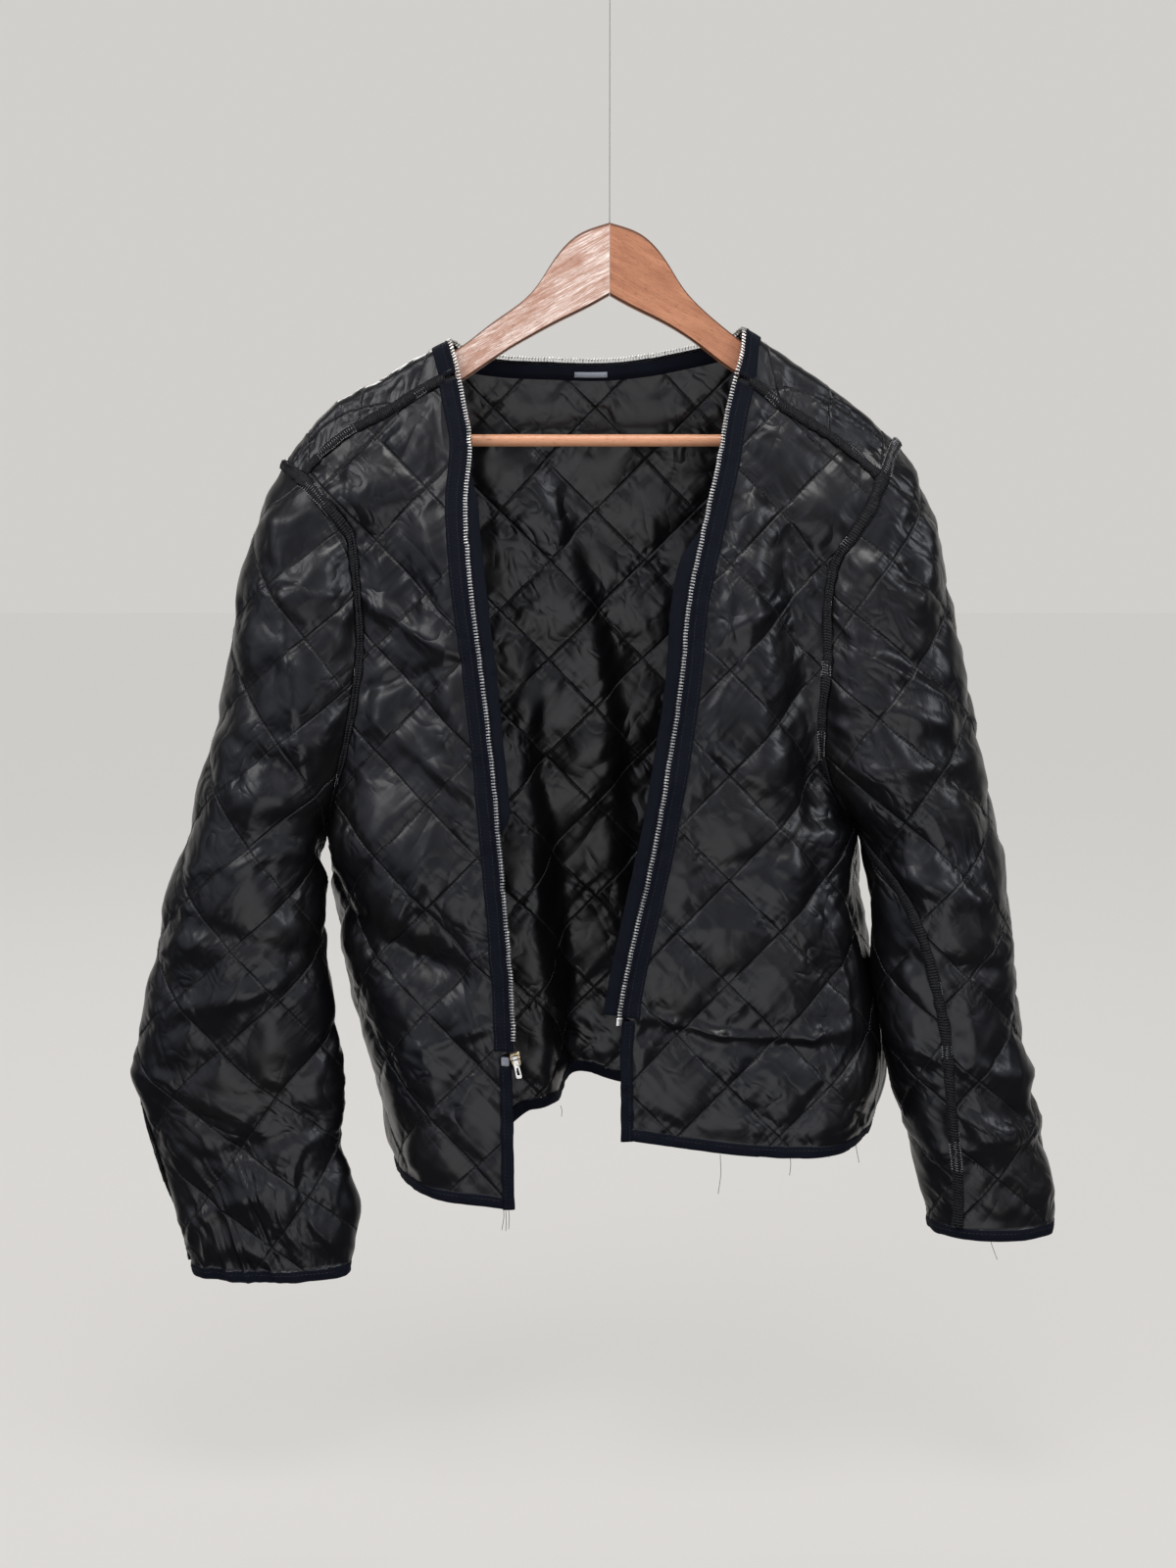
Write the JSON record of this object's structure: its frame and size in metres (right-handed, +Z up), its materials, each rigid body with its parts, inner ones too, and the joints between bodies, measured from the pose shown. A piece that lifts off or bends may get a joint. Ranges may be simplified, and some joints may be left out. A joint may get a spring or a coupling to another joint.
{
  "type": "quilted zip-in liner jacket on a wooden hanger",
  "caption": "Black quilted zip-in liner jacket hanging open on a plain wooden hanger, with overlocked seams outside, navy bound edges, an open metal zip and a slider with its pull.",
  "frame": {"origin": "the top of the loop of the clear line that holds the hanger up", "axes": "+Z up along the line, -Y out of the front of the jacket, +X to the wearer's left, which is the right as seen from the front; left and right in names are as seen from the front"},
  "size_m": [0.7659, 0.2111, 1.066],
  "materials": {
    "quilted_nylon": "black satin nylon quilted over thin wadding",
    "overlocked_seam": "overlocked nylon with grey thread",
    "navy_tape": "woven navy polyester tape",
    "grey_woven": "woven grey label and tab",
    "silver_metal": "satin",
    "brass": "worn plating",
    "wood_pale": "pinkish brown, streaked grain, satin varnish",
    "wood_orange": "orange brown, matt varnish",
    "clear_line": "clear"
  },
  "bodies": {
    "jacket": {"armhole_seam_left": "overlocked_seam", "armhole_seam_right": "overlocked_seam", "back": "quilted_nylon", "cuff_binding_left": "navy_tape", "cuff_binding_right": "navy_tape", "edge_binding_left": "navy_tape", "edge_binding_right": "navy_tape", "facing_left": "navy_tape", "facing_neck": "navy_tape", "facing_right": "navy_tape", "front_left": "quilted_nylon", "front_right": "quilted_nylon", "hanger_arm_left": "wood_pale", "hanger_arm_right": "wood_orange", "hanger_bar": "wood_orange", "hem_binding_back": "navy_tape", "hem_binding_left": "navy_tape", "hem_binding_right": "navy_tape", "line": "clear_line", "line_knot": "clear_line", "line_loop": "clear_line", "neck_label": "grey_woven", "shoulder_seam_left": "overlocked_seam", "shoulder_seam_right": "overlocked_seam", "sleeve_left": "quilted_nylon", "sleeve_right": "quilted_nylon", "sleeve_seam_left": "overlocked_seam", "sleeve_seam_right": "overlocked_seam", "zip_end_tab": "grey_woven", "zip_slider": "brass", "zip_stop_right": "silver_metal", "zip_tape_left": "navy_tape", "zip_tape_neck": "navy_tape", "zip_tape_right": "navy_tape"},
    "pull": {"zip_pull": "silver_metal"}
  },
  "joints": [
    {"name": "zip_pull_hinge", "type": "hinge", "parent": "jacket", "child": "pull", "pos_m": [-0.07584, -0.09963, -0.86445], "axis": [-0.9781, 0, -0.2079], "range_deg": [0, 160]}
  ]
}
